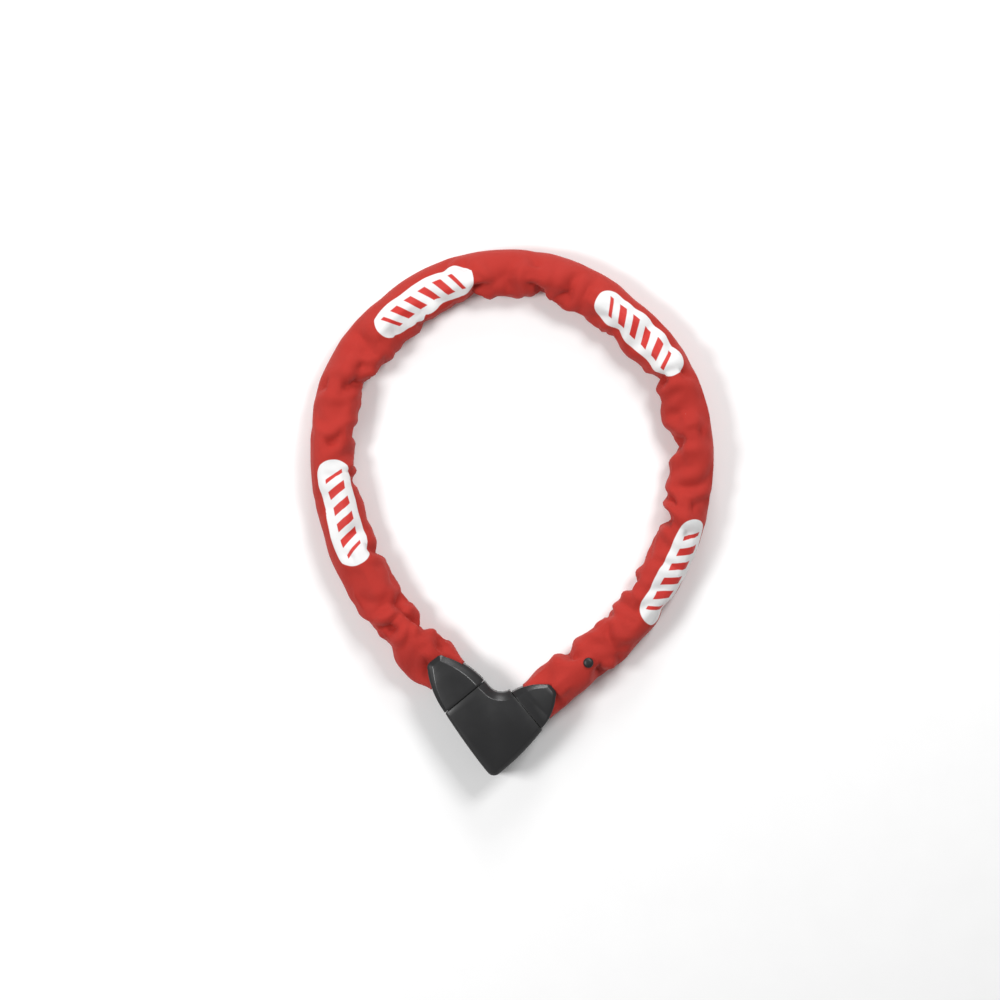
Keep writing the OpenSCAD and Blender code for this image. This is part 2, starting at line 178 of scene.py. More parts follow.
def metal_material(name, color, dark, roughness, brush_scale):
    """Metal with fine machining marks, a cloudy tone and darker spots."""
    mat, shader, tree = new_material(name)
    coords = object_coords(tree)
    stretched = node(tree, "ShaderNodeMapping", {"Vector": coords, "Scale": brush_scale}).outputs[0]
    marks = noise(tree, stretched, 1.0, 3.0, 0.65)
    cloud = noise(tree, coords, 160.0, 4.0, 0.6)
    tone = math_node(tree, "MULTIPLY_ADD", cloud, 1.6, -0.45, clamp=True)
    tree.links.new(mix_color(tree, tone, (*dark, 1), (*color, 1)), shader.inputs["Base Color"])
    tree.links.new(math_node(tree, "MULTIPLY_ADD", marks, 0.25, roughness - 0.1), shader.inputs["Roughness"])
    shader.inputs["Metallic"].default_value = 1.0
    bump(tree, shader, marks, 0.00004)
    return mat


def rubber_material(name):
    """Matt black rubber with a faint bloom."""
    mat, shader, tree = new_material(name)
    coords = object_coords(tree)
    cloud = noise(tree, coords, 400.0, 3.0, 0.6)
    tree.links.new(
        mix_color(tree, cloud, (0.012, 0.012, 0.012, 1), (0.035, 0.034, 0.033, 1)),
        shader.inputs["Base Color"],
    )
    shader.inputs["Roughness"].default_value = 0.8
    bump(tree, shader, noise(tree, coords, 3000.0), 0.00003)
    return mat


def beyond(tree, value, half):
    """How far a value lies past half, to either side of zero."""
    size = math_node(tree, "ABSOLUTE", value)
    return math_node(tree, "MAXIMUM", math_node(tree, "SUBTRACT", size, half), 0.0)


def box_mask(tree, x, y, half_x, half_y, radius, soft):
    """1 inside a rounded rectangle, 0 outside. Everything in millimetres."""
    dx = beyond(tree, x, half_x - radius)
    dy = beyond(tree, y, half_y - radius)
    square = math_node(tree, "MULTIPLY_ADD", dx, dx, math_node(tree, "MULTIPLY", dy, dy))
    outside = math_node(tree, "SUBTRACT", math_node(tree, "SQRT", square), radius)
    return math_node(tree, "MULTIPLY_ADD", outside, -1.0 / soft, 0.5, clamp=True)


def weave_height(tree, along, around):
    """Plain weave: warp and weft threads of 0.55 mm that pass over and under each other."""
    pitch = 2 * math.pi / 1.1
    warp = math_node(tree, "SINE", math_node(tree, "MULTIPLY", along, pitch))
    weft = math_node(tree, "SINE", math_node(tree, "MULTIPLY", around, pitch))
    crossing = math_node(tree, "MULTIPLY", warp, weft)
    ribs = math_node(tree, "ADD", math_node(tree, "ABSOLUTE", warp), math_node(tree, "ABSOLUTE", weft))
    return math_node(tree, "MULTIPLY_ADD", ribs, 0.35, math_node(tree, "MULTIPLY", crossing, 0.5))


def fabric_material(name):
    """Red woven polyester with four printed white patches, each with slanted red bars."""
    mat, shader, tree = new_material(name)
    cloth = node(tree, "ShaderNodeAttribute", attribute_name="cloth").outputs["Vector"]
    split = node(tree, "ShaderNodeSeparateXYZ", {0: cloth})
    along, around = split.outputs[0], split.outputs[1]
    patch = node(tree, "ShaderNodeAttribute", attribute_name="patch").outputs["Vector"]
    split = node(tree, "ShaderNodeSeparateXYZ", {0: patch})
    px, py = split.outputs[0], split.outputs[1]

    coords = object_coords(tree)
    cloud = noise(tree, coords, 26.0, 4.0, 0.55)
    thread_noise = noise(
        tree, node(tree, "ShaderNodeMapping", {"Vector": cloth, "Scale": (0.25, 3.0, 1.0)}).outputs[0], 1.0
    )
    base = mix_color(tree, cloud, (0.40, 0.021, 0.014, 1), (0.50, 0.033, 0.022, 1))
    base = mix_color(
        tree, math_node(tree, "MULTIPLY", thread_noise, 0.30), base, (0.30, 0.015, 0.011, 1)
    )
    height = weave_height(tree, along, around)
    # Painted shade: the red is darker where the weave lies low, between the threads
    thread_gap_shade = math_node(tree, "MULTIPLY_ADD", height, -0.25, 0.12, clamp=True)
    base = mix_color(tree, thread_gap_shade, base, (0.2, 0.01, 0.008, 1))

    printed = box_mask(tree, px, py, 34.0, 10.3, 9.8, 0.35)
    slanted = math_node(tree, "MULTIPLY_ADD", py, 0.55, px)
    bars = math_node(tree, "PINGPONG", math_node(tree, "ADD", slanted, 60.0), 5.0)
    bars = math_node(tree, "MULTIPLY_ADD", bars, 2.5, -5.6, clamp=True)
    field = box_mask(tree, slanted, py, 25.0, 5.4, 0.4, 0.35)
    ink = math_node(tree, "MULTIPLY", bars, field)
    white = mix_color(tree, cloud, (0.70, 0.70, 0.70, 1), (0.78, 0.78, 0.78, 1))
    print_color = mix_color(tree, ink, white, (0.55, 0.030, 0.024, 1))
    tree.links.new(mix_color(tree, printed, base, print_color), shader.inputs["Base Color"])

    tree.links.new(math_node(tree, "MULTIPLY_ADD", printed, -0.25, 0.78), shader.inputs["Roughness"])
    shader.inputs["Sheen Weight"].default_value = 0.12
    shader.inputs["Sheen Roughness"].default_value = 0.45
    shader.inputs["Sheen Tint"].default_value = (1.0, 0.55, 0.5, 1)
    shader.inputs["Specular IOR Level"].default_value = 0.3
    seam = math_node(tree, "ABSOLUTE", math_node(tree, "SUBTRACT", around, -22.0))
    stitches = math_node(tree, "SINE", math_node(tree, "MULTIPLY", along, 2 * math.pi / 3.0))
    seam = math_node(tree, "MULTIPLY_ADD", seam, -0.9, 1.0, clamp=True)
    seam = math_node(tree, "MULTIPLY", seam, math_node(tree, "MULTIPLY_ADD", stitches, 1.5, 2.0))
    relief = math_node(tree, "MULTIPLY", height, math_node(tree, "MULTIPLY_ADD", printed, -0.45, 1.0))
    relief = math_node(tree, "ADD", relief, seam)
    relief = math_node(tree, "MULTIPLY_ADD", thread_noise, 0.4, relief)
    bump(tree, shader, relief, 0.00012, 0.8)
    return mat


def make_materials():
    """Every material by its record slot."""
    steel_marks = (900.0, 900.0, 9000.0)
    return {
        # Plastics: own colour, then the lighter colour of the painted highlight on sharp edges, roughness
        # and grain
        "cover_plastic": plastic_material(
            "satin_plastic", (0.0155, 0.0155, 0.0162), (0.06, 0.06, 0.06), 0.29, 0.000012
        ),
        "inner_plastic": plastic_material(
            "matt_plastic", (0.008, 0.008, 0.009), (0.04, 0.04, 0.04), 0.45, 0.00002
        ),
        "seal_rubber": rubber_material("seal_rubber"),
        "hardened_steel": metal_material(
            "ground_steel", (0.58, 0.58, 0.57), (0.42, 0.42, 0.43), 0.28, steel_marks
        ),
        "chain_steel": metal_material(
            "plated_steel", (0.66, 0.66, 0.62), (0.48, 0.47, 0.42), 0.34, (500.0, 500.0, 500.0)
        ),
        "dark_steel": metal_material(
            "blackened_steel", (0.16, 0.16, 0.17), (0.08, 0.08, 0.085), 0.42, steel_marks
        ),
        "spring_steel": metal_material(
            "bright_steel", (0.62, 0.62, 0.63), (0.45, 0.45, 0.47), 0.2, steel_marks
        ),
        "cylinder_brass": metal_material(
            "turned_brass", (0.74, 0.56, 0.26), (0.52, 0.37, 0.15), 0.26, steel_marks
        ),
        "sleeve_fabric": fabric_material("woven_red"),
    }


# ---------------------------------------------------------------- lock body and collars


def arc(centre, radius, start, end, count):
    """Points on an arc, angles in degrees."""
    angles = [math.radians(start + (end - start) * k / count) for k in range(count + 1)]
    return [(centre[0] + radius * math.cos(a), centre[1] + radius * math.sin(a)) for a in angles]


def bow(p, q, rise, count=14):
    """Points of a shallow curve from p to q that bulges to the right by rise."""
    dx, dy = q[0] - p[0], q[1] - p[1]
    length = math.hypot(dx, dy)
    side = (dy / length, -dx / length)
    points = []
    for k in range(count + 1):
        t = k / count
        lift = rise * 4 * t * (1 - t)
        points.append((p[0] + dx * t + side[0] * lift, p[1] + dy * t + side[1] * lift))
    return points


def body_outline():
    """The body's outline, counter-clockwise, with the bevel width and depth at each point."""
    parts = [
        ([(15.6, PLUG_SEAM)], (5.9, 4.2)),
        (bow((-15.8, PLUG_SEAM), (-18.9, -11.2), 0.5), (1.5, 1.3)),
        (arc((-13.9, -14.2), 5, 185, 262, 12), (2.2, 1.9)),
        (bow((-12.9, -19.2), (FIXED_SEAM, -15.5), 1.1), (3.0, 2.6)),
        (arc((25.2, 25.7), 9.5, 261, 180, 18), (5.2, 4.2)),
    ]
    return [(p, bevel) for points, bevel in parts for p in points]


def collar_outline(side, gap_to_tip, wide, narrow):
    """A collar's outline along +Y, counter-clockwise, with its bevel at each point.

    wide and narrow give the width at the seam and the tip, then the depth at both.
    """
    seam, tip = gap_to_tip
    right, left = [], []
    for x, y in side:
        t = (y - seam) / (tip - seam)
        width = wide[0] + (wide[1] - wide[0]) * t
        right.append(((x, y), (width, wide[2] + (wide[3] - wide[2]) * t)))
    for x, y in reversed(side):
        t = (y - seam) / (tip - seam)
        width = narrow[0] + (narrow[1] - narrow[0]) * t
        left.append(((-x, y), (width, narrow[2] + (narrow[3] - narrow[2]) * t)))
    return right + left


def offset_outline(points, insets, ends):
    """The outline moved inwards by each point's inset. An edge that lies on a seam stays on it."""
    count = len(points)
    moved = []
    for i in range(count):
        p = Vector(points[i])
        before = (p - Vector(points[i - 1])).normalized()
        after = (Vector(points[(i + 1) % count]) - p).normalized()
        in_before = Vector((-before.y, before.x))
        in_after = Vector((-after.y, after.x))
        d = insets[i]
        d_before = 0.0 if ends(points[i - 1], points[i]) else d
        d_after = 0.0 if ends(points[i], points[(i + 1) % count]) else d
        cross = before.x * after.y - before.y * after.x
        if abs(cross) < 0.25:
            normal = (in_before + in_after).normalized()
            moved.append(p + normal * d)
            continue
        a = p + in_before * d_before
        b = p + in_after * d_after
        t = ((b.x - a.x) * after.y - (b.y - a.y) * after.x) / cross
        moved.append(a + before * t)
    return moved


# How far in and how far down each ring of a bevel is, as shares of its width and depth
BEVEL_RINGS = [(0.0, 1.12), (0.02, 1.0), (0.09, 0.88), (0.5, 0.46), (0.86, 0.10), (0.93, 0.03), (1.0, 0.0)]


def bevelled_solid(outline, ends, floor=0.0, top=MID_Z):
    """A solid on the outline whose top edge is bevelled, in the lock's frame."""
    points = [p for p, bevel in outline]
    bm = bmesh.new()
    rings = [[bm.verts.new((x, y, floor)) for x, y in points]]
    for share_in, share_down in BEVEL_RINGS:
        insets = [bevel[0] * share_in for p, bevel in outline]
        ring = []
        for q, (p, bevel) in zip(offset_outline(points, insets, ends), outline):
            ring.append(bm.verts.new((q.x, q.y, top - bevel[1] * share_down)))
        rings.append(ring)
    count = len(points)
    for low, high in zip(rings, rings[1:]):
        for i in range(count):
            n = (i + 1) % count
            bm.faces.new((low[i], low[n], high[n], high[i]))
    bm.faces.new(rings[-1])
    bm.faces.new(list(reversed(rings[0])))
    return bm


def mesh_object(name, bm):
    """An object made from bm, linked to the scene."""
    mesh = bpy.data.meshes.new(name)
    bm.to_mesh(mesh)
    bm.free()
    obj = bpy.data.objects.new(name, mesh)
    bpy.context.scene.collection.objects.link(obj)
    return obj


def block(low, high):
    """A cutter block."""
    bm = bmesh.new()
    bmesh.ops.create_cube(bm, size=1.0)
    size = Vector(high) - Vector(low)
    centre = (Vector(high) + Vector(low)) / 2
    bmesh.ops.scale(bm, vec=size, verts=bm.verts)
    bmesh.ops.translate(bm, vec=centre, verts=bm.verts)
    return mesh_object("cutter", bm)


def rod(radius, start, end, sides=48):
    """A cutter rod between two points."""
    a, b = Vector(start), Vector(end)
    bm = bmesh.new()
    bmesh.ops.create_cone(
        bm, cap_ends=True, segments=sides, radius1=radius, radius2=radius, depth=(b - a).length
    )
    turn = Vector((0, 0, 1)).rotation_difference((b - a).normalized()).to_matrix().to_4x4()
    bmesh.ops.transform(bm, matrix=Matrix.Translation((a + b) / 2) @ turn, verts=bm.verts)
    return mesh_object("cutter", bm)


def prism(points, z0, z1):
    """A cutter prism."""
    bm = bmesh.new()
    low = [bm.verts.new((x, y, z0)) for x, y in points]
    high = [bm.verts.new((x, y, z1)) for x, y in points]
    count = len(points)
    for i in range(count):
        n = (i + 1) % count
        bm.faces.new((low[i], low[n], high[n], high[i]))
    bm.faces.new(high)
    bm.faces.new(list(reversed(low)))
    return mesh_object("cutter", bm)


def knob_slot():
    """A cutter for the slot that the shutter's knob slides along."""
    pivot = (-6.0, -7.5)
    reach = math.hypot(*pivot)
    outer = arc(pivot, reach + 1.4, 50, 116, 16)
    inner = arc(pivot, reach - 1.4, 116, 50, 16)
    cutter = prism(outer + inner, 16.0, 22.0)
    cutter.data.transform(Matrix.Rotation(math.pi / 2, 4, "X"))
    return cutter


def cut(obj, cutters):
    """Takes the cutters out of obj for good."""
    for cutter in cutters:
        mod = obj.modifiers.new("cut", "BOOLEAN")
        mod.operation = "DIFFERENCE"
        mod.solver = "EXACT"
        mod.object = cutter
    graph = bpy.context.evaluated_depsgraph_get()
    mesh = bpy.data.meshes.new_from_object(obj.evaluated_get(graph))
    obj.modifiers.clear()
    obj.data = mesh
    for cutter in cutters:
        bpy.data.objects.remove(cutter)


def finish_shell(obj, mirror, material, body, cad_node):
    """Puts a half shell into the object's frame, softens its sharp edges and makes it a piece."""
    if mirror:
        obj.data.transform(Matrix.Scale(-1, 4, (0, 0, 1)))
        obj.data.flip_normals()
    obj.data.transform(LOCK_MATRIX)
    obj.data.materials.clear()
    obj.data.materials.append(material)
    soften = obj.modifiers.new("soften", "BEVEL")
    soften.width = 0.00028
    soften.segments = 2
    soften.limit_method = "ANGLE"
    soften.angle_limit = math.radians(48)
    soften.use_clamp_overlap = True
    graph = bpy.context.evaluated_depsgraph_get()
    mesh = bpy.data.meshes.new_from_object(obj.evaluated_get(graph))
    obj.modifiers.clear()
    obj.data = mesh
    for polygon in mesh.polygons:
        polygon.use_smooth = True
    mesh.set_sharp_from_angle(angle=math.radians(32))
    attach(obj, body)
    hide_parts(cad_node)


def on_body_seam(p, q):
    """True for an edge of the body's outline that faces one of the collars."""
    on_plug = abs(p[1] - PLUG_SEAM) < 0.01 and abs(q[1] - PLUG_SEAM) < 0.01
    on_fixed = abs(p[0] - FIXED_SEAM) < 0.05 and abs(q[0] - FIXED_SEAM) < 0.05
    return on_plug or on_fixed


# Places of the cover screws, in the lock's frame
SCREWS = [(-10.6, 22.5), (-10.6, 0.5), (10.6, 22.5), (14.4, -10)]


def make_cover(name, material, cad_node, back):
    """One half of the V-shaped body: a shell with the socket, the keyhole and the fixed arm's way out."""
    outline = body_outline()
    shell = mesh_object(name, bevelled_solid(outline, on_body_seam))
    inner = offset_outline([p for p, _ in outline], [WALL + 0.6] * len(outline), lambda p, q: False)
    cutters = [
        prism([(p.x, p.y) for p in inner], -1.0, 9.4),
        block((-12.9, -15.7, 9.0), (9.2, 28.2, 11.4)),
        block((-12.9, -12.5, 9.0), (21.3, 12.5, 11.4)),
        rod(SOCKET_R, (0, 27, 0), (0, PLUG_SEAM + 1, 0)),
        block((20, -CAVITY_HALF, -1), (FIXED_SEAM + 1, CAVITY_HALF, CAVITY_TOP)),
        rod(KEYHOLE_R, (0, -22, 0), (0, -14, 0)),
        block((-13.6, -17.3, -11), (6, -14.4, 10.4)),
    ]
    slot = knob_slot()
    if back:
        slot.data.transform(Matrix.Scale(-1, 4, (0, 0, 1)))
        slot.data.flip_normals()
        for x, y in SCREWS:
            cutters.append(rod(1.5, (x, y, 3), (x, y, 15), 24))
            cutters.append(rod(3.0, (x, y, 11), (x, y, 15), 32))
    cutters.append(slot)
    cut(shell, cutters)
    finish_shell(shell, back, material, "lock_body", cad_node)


def bend_tip(obj, tip):
    """Lowers the top of a collar towards its tip."""

    def height(y):
        if y < tip - 13:
            return MID_Z
        if y < tip - 2:
            return MID_Z - 0.9 * (y - tip + 13) / 11
        return 13.1 - 0.5 * (y - tip + 2) / 2

    bm = bmesh.new()
    bm.from_mesh(obj.data)
    for level in (tip - 13, tip - 9, tip - 5, tip - 2):
        everything = bm.verts[:] + bm.edges[:] + bm.faces[:]
        bmesh.ops.bisect_plane(bm, geom=everything, plane_co=(0, level, 0), plane_no=(0, 1, 0))
    for v in bm.verts:
        v.co.z *= height(v.co.y) / MID_Z
    bm.to_mesh(obj.data)
    bm.free()


def add_lip(shell, seam):
    """A rim below the collar's top that reaches up to the body and closes the view into the gap."""
    lip = block((-13.3, seam - 0.7, 0), (13.3, seam + 1, 11.3))
    cut(lip, [rod(BOLT_WAY_R, (0, seam - 2, 0), (0, seam + 2, 0))])
    bm = bmesh.new()
    bm.from_mesh(shell.data)
    bm.from_mesh(lip.data)
    bm.to_mesh(shell.data)
    bm.free()
    bpy.data.objects.remove(lip)


def make_collar(name, material, cad_node, body, plug, back):
    """Half of a collar: a hollow root and a tapered tongue over the end of the sleeve."""
    if plug:
        seam, mouth, tip = PLUG_SEAM + SEAM_GAP + 0.35, PLUG_MOUTH, PLUG_TIP
        side = bow((15.7, seam), (7.4, 58), 1.7, 16) + [(6.8, 59.6), (5.8, 60.9), (4.6, 61.8), (3.2, 62.2)]
        outline = collar_outline(side, (seam, tip), (6.0, 4.6, 4.0, 2.4), (1.9, 4.2, 1.5, 2.2))
        way_in = [rod(BOLT_WAY_R, (0, seam - 1, 0), (0, seam + 4, 0))]
    else:
        seam, mouth, tip = FIXED_SEAM, FIXED_MOUTH, FIXED_TIP
        side = bow((14.4, seam + 0.45), (5.4, 42.8), 1.7, 16) + [(4, 44.6), (2, 45.5)]
        outline = collar_outline(side, (seam, tip), (4.6, 2.2, 3.4, 1.2), (1.4, 1.9, 1.2, 1.2))
        outline = [((-x, y), bevel) for (x, y), bevel in reversed(outline)]
        way_in = [block((-CAVITY_HALF, seam - 1, -1), (CAVITY_HALF, seam + 4, CAVITY_TOP))]

    def on_seam(p, q):
        return abs(p[1] - q[1]) < 0.01 and abs(p[1] - side[0][1]) < 0.01

    shell = mesh_object(name, bevelled_solid(outline, on_seam))
    bend_tip(shell, tip)
    cutters = [
        block((-CAVITY_HALF, seam + 2, -1), (CAVITY_HALF, mouth + 1, 11.4)),
        block((-20, mouth, -1), (20, tip + 2, TONGUE_GAP)),
    ] + way_in
    cut(shell, cutters)
    if plug:
        add_lip(shell, seam)
    else:
        shell.data.transform(Matrix.Rotation(-math.pi / 2, 4, "Z"))
    finish_shell(shell, back, material, body, cad_node)


def make_shells(material):
    """The six plastic shells."""
    make_cover("front_cover_skin", material, "front_cover", back=False)
    make_cover("back_cover_skin", material, "back_cover", back=True)
    for back, half in ((False, "front"), (True, "back")):
        name = "plug_collar_" + half
        make_collar(name + "_skin", material, name, "plug", plug=True, back=back)
        name = "fixed_collar_" + half
        make_collar(name + "_skin", material, name, "lock_body", plug=False, back=back)


# ---------------------------------------------------------------- fabric sleeve

# The middle line of the chain, as in part.scad
ROUTE = (
    [from_lock(19, 0), from_lock(32, 0), from_lock(46, 0)]
    + [(44, -93), (64, -76), (81, -57), (94, -35), (104, -12), (109.5, 12), (112, 36), (109, 60)]
    + [(101, 83), (88, 103), (70, 120), (49, 134.3), (25, 144.6), (0, 148.2), (-25, 145.8)]
    + [(-48.5, 137.7), (-70, 123.4), (-88, 105), (-102, 84), (-110, 60), (-112, 36), (-110, 12)]
    + [(-103.5, -12), (-94, -34), (-82, -55), (-66.5, -72)]
    + [from_lock(0, 62), from_lock(0, 49), from_lock(0, 36)]
)
RUN_IN = 8.0

# The sleeve's outline from above: its usual half width, then the swells and hollows along each edge,
# by place, reach to either side and height. SWELL_SLOPE is the longest way from foot to full height
HALF_WIDTH = 13.0
SWELL_SLOPE = 14.0
OUTER_SWELLS = [
    (45, 12, -1.5), (62, 10, 1), (100, 10, -2), (215, 50, -0.5), (410, 115, 2), (470, 20, 1),
    (620, 30, 1.5), (650, 8, -3), (685, 20, 6),
]
INNER_SWELLS = [
    (25, 16, 1), (40, 7, -2), (70, 14, -3), (102, 8, -3), (151, 11, -5.5), (172, 12, 1),
    (200, 14, -4), (221, 12, 3), (248, 11, -5), (275, 15, 2.5), (300, 12, 1), (340, 20, -5),
    (366, 9, 1.5), (391, 16, -6), (455, 30, 2), (465, 10, 1), (490, 18, -5), (530, 9, -1),
    (590, 25, 2.5), (628, 18, 2.5), (667, 22, -6),
]

# Creases that start at the inner edge: place, reach across the top, depth and slant
CREASES = [
    (40, 0.9, 2.6, 6), (70, 0.75, 2.2, -7), (102, 0.6, 2, 5), (151, 0.55, 2.6, -6),
    (200, 0.5, 2.4, 8), (248, 0.6, 3, -5), (290, 0.35, 1.4, 6), (335, 0.55, 2.8, -7),
    (350, 0.6, 3, 7), (391, 0.65, 3.2, 4), (435, 0.35, 1.4, -6), (494, 0.7, 3, 10),
    (530, 0.6, 2, 8), (560, 0.3, 1.4, -5), (612, 0.5, 2, -7), (650, 0.8, 2.6, 9),
    (667, 0.9, 3.4, -10), (685, 0.7, 2.4, 8),
]

# The tube of cloth: its girth, its length for each millimetre covered, and its grid
SLEEVE_GIRTH = 86.0
SLEEVE_GATHER = 1.06
RINGS = 420
SIDES = 48

# What the cloth keeps to: its gap to the links and to the floor, its highest place above the chain's
# middle, and its half height below the collars' tongues
CLOTH_GAP = 1.1
FLOOR_GAP = 0.8
CLOTH_TOP = 14.9
CLOTH_UNDER_TONGUE = 11.0

# The links, as in part.scad
LINK_COUNT = 29
LINK_OPENING = 29.0
LINK_HALF_LENGTH = 20.5
LINK_HALF_WIDTH = 11.2
BAR_HALF = 3.0
PIN_R = 3.0
END_PLAY = 0.7

# How many small folds there are besides the creases, and the radius that turns an angle round the
# tube into a distance along it
RANDOM_FOLDS = 150
TUBE_RADIUS = 13.7


def catmull(points, steps):
    """Points of a smooth curve through the given ones."""
    pts = np.array(points, float)
    last = len(pts) - 1
    out = []
    for i in range(last):
        a, b, c, d = pts[max(i - 1, 0)], pts[i], pts[i + 1], pts[min(i + 2, last)]
        for k in range(steps):
            t = k / steps
            out.append(0.5 * (2 * b + (c - a) * t + (2 * a - 5 * b + 4 * c - d) * t**2
                              + (3 * b - a - 3 * c + d) * t**3))
    out.append(pts[-1])
    return np.array(out)


LINE = catmull(ROUTE, 24)
LINE_ARC = np.concatenate([[0], np.cumsum(np.linalg.norm(np.diff(LINE, axis=0), axis=1))]) - RUN_IN
CHAIN_RUN = LINE_ARC[-1] - RUN_IN
SLEEVE_FROM = FIXED_MOUTH + 0.4 - ANCHOR_X
SLEEVE_TO = CHAIN_RUN - (PLUG_MOUTH + 0.4 - PLUG_PIN_Y)


def line_point(s):
    """Points of the middle line at these distances."""
    return np.stack([np.interp(s, LINE_ARC, LINE[:, 0]), np.interp(s, LINE_ARC, LINE[:, 1])], axis=-1)


def line_ahead(s):
    """Directions of the middle line at these distances."""
    d = line_point(s + 3.0) - line_point(s - 3.0)
    return d / np.linalg.norm(d, axis=-1, keepdims=True)


def smoothstep(x):
    """0 to 1, smoothly."""
    x = np.clip(x, 0.0, 1.0)
    return x * x * (3 - 2 * x)


def edge_offset(s, swells):
    """How far an edge of the sleeve stands off the middle line at these distances."""
    offset = np.full_like(s, HALF_WIDTH)
    for place, reach, height in swells:
        offset += height * smoothstep((reach - np.abs(s - place)) / min(reach, SWELL_SLOPE))
    return offset


def link_places():
    """Where each link lies along the middle line, how far it is rolled, in radians, and the pitch."""
    offset = LINK_OPENING / 2 - PIN_R - END_PLAY
    pitch = (CHAIN_RUN - 2 * offset) / (LINK_COUNT - 1)
    k = np.arange(1, LINK_COUNT + 1)
    pull = 4 * np.minimum(np.clip((k - 1) / 7, 0, 1), np.clip((LINK_COUNT - k) / 20, 0, 1))
    roll = 90 * (np.clip((k - 1) / 7, 0, 1) + 1 - np.clip((LINK_COUNT - k) / 12, 0, 1))
    roll = roll + np.where(k % 2 == 1, 0, 90)
    return offset + (k - 1) * pitch - pull, np.radians(roll), pitch


LINK_ARC, LINK_ROLL, LINK_PITCH = link_places()
BOW_STEPS = np.arange(-28.0, 29.0)


def link_bow(centre):
    """How far a straight link lies outside the curved middle line, at each of BOW_STEPS from its middle."""
    first, last = line_point(centre - LINK_PITCH / 2), line_point(centre + LINK_PITCH / 2)
    ahead = (last - first) / np.linalg.norm(last - first)
    return (first - line_point(centre + BOW_STEPS)) @ np.array([ahead[1], -ahead[0]])


LINK_BOWS = [link_bow(centre) for centre in LINK_ARC]

# Every link gets some room at both ends, and the last ones more: they shift inside the sleeve when
# the plug is drawn
LINK_ROOM = np.where(np.arange(len(LINK_ARC)) >= 22, 2.8, 0.6)


def chain_clearance(s, a, h, gap):
    """Moves points, given by distance, offset and height, straight out past the links inside them."""
    radius = np.hypot(a, h) + 1e-6
    across, up = a / radius, h / radius
    needed = np.zeros_like(radius)
    for centre, roll, room, stand_off in zip(LINK_ARC, LINK_ROLL, LINK_ROOM, LINK_BOWS):
        c, r = math.cos(roll), math.sin(roll)
        left = LINK_HALF_LENGTH + gap + room - np.abs(s - centre)
        near = left > 0
        t = np.minimum(left[near], LINK_HALF_WIDTH + gap)
        wide = np.sqrt((LINK_HALF_WIDTH + gap) ** 2 - (LINK_HALF_WIDTH + gap - t) ** 2)
        u = np.abs(up[near] * r - across[near] * c) + 1e-6
        v = np.abs(across[near] * r + up[near] * c) + 1e-6
        shift = np.maximum(np.interp(s[near] - centre, BOW_STEPS, stand_off) * across[near], 0)
        needed[near] = np.maximum(needed[near], np.minimum(wide / u, (BAR_HALF + gap) / v) + shift)
    radius = np.maximum(radius, needed)
    return across * radius, up * radius


def sleeve_start(s, theta):
    """The sleeve before it relaxes: offset and height of each point."""
    out_edge, in_edge = edge_offset(s, OUTER_SWELLS), edge_offset(s, INNER_SWELLS)
    # About how far along the line the pin at the nearer end is
    end = np.minimum(s - SLEEVE_FROM + 4.8, SLEEVE_TO - s + 3.3 + 0.5)
    reach = np.where(s < 300, FIXED_TIP - ANCHOR_X, PLUG_TIP - PLUG_PIN_Y) + 1.0
    free = smoothstep((end - reach) / 9.0)
    half_height = 10.95 + 3.1 * free
    cos, sin = np.cos(theta), np.sin(theta)
    power = 0.86
    width = np.where(cos > 0, out_edge, in_edge)
    a = width * np.sign(cos) * np.abs(cos) ** power
    h = half_height * np.sign(sin) * np.abs(sin) ** power
    return a, h


def crease_profile(distance, width):
    """A sharp valley between two low ridges, all with flat sides."""
    valley = np.maximum(0, 1 - np.abs(distance) / (2.0 * width))
    shoulder = np.maximum(0, 1 - np.abs(np.abs(distance) - 3.6 * width) / (2.4 * width))
    return valley - 0.4 * shoulder


def crease_depth(s, theta, rng):
    """How far each point of the sleeve is pressed in by its folds."""
    across = np.arccos(np.clip(-np.cos(theta), -1, 1)) / math.pi * 2
    upper = smoothstep((np.sin(theta) + 0.6) / 0.6)
    taut = 0.25 + 0.75 * smoothstep((1.95 - across) / 0.9)
    depth = np.zeros_like(s)
    for place, extent, press, slant in CREASES:
        lean = place + slant * (across - 0.3) + 2.0 * np.sin(across * 5 + place)
        fade = smoothstep(1.6 - across / (extent * 2.0)) * (0.35 + 0.65 * upper)
        depth += 1.5 * press * fade * crease_profile(s - lean, 2.2)
    for _ in range(RANDOM_FOLDS):
        place = rng.uniform(SLEEVE_FROM + 10, SLEEVE_TO - 10)
        turn = rng.uniform(0, 2 * math.pi)
        tilt = rng.normal(math.pi / 2, 0.55)
        reach, press, width = rng.uniform(7, 18), rng.uniform(0.7, 2.4), rng.uniform(1.3, 2.6)
        x = s - place
        y = ((theta - turn + math.pi) % (2 * math.pi) - math.pi) * TUBE_RADIUS
        p = x * math.cos(tilt) + y * math.sin(tilt)
        q = y * math.cos(tilt) - x * math.sin(tilt) + 0.02 * p * p * rng.choice([-1, 1])
        depth += press * taut * np.exp(-((p / reach) ** 2)) * crease_profile(q, width)
    return depth


class Links:
    """Distance constraints between rows of points, solved one colour at a time."""

    def __init__(self, first, second, rest, stiffness, push_only=False):
        self.first, self.second = first, second
        self.rest, self.stiffness, self.push_only = rest, stiffness, push_only

    def solve(self, points, weights):
        """Moves both ends of every link towards its rest length."""
        d = points[self.second] - points[self.first]
        length = np.linalg.norm(d, axis=1) + 1e-9
        stretch = (length - self.rest) / length
        if self.push_only:
            stretch = np.minimum(stretch, 0)
        w1, w2 = weights[self.first], weights[self.second]
        total = np.maximum(w1 + w2, 1e-9)
        move = d * (self.stiffness * stretch / total)[:, None]
        points[self.first] += move * w1[:, None]
        points[self.second] -= move * w2[:, None]


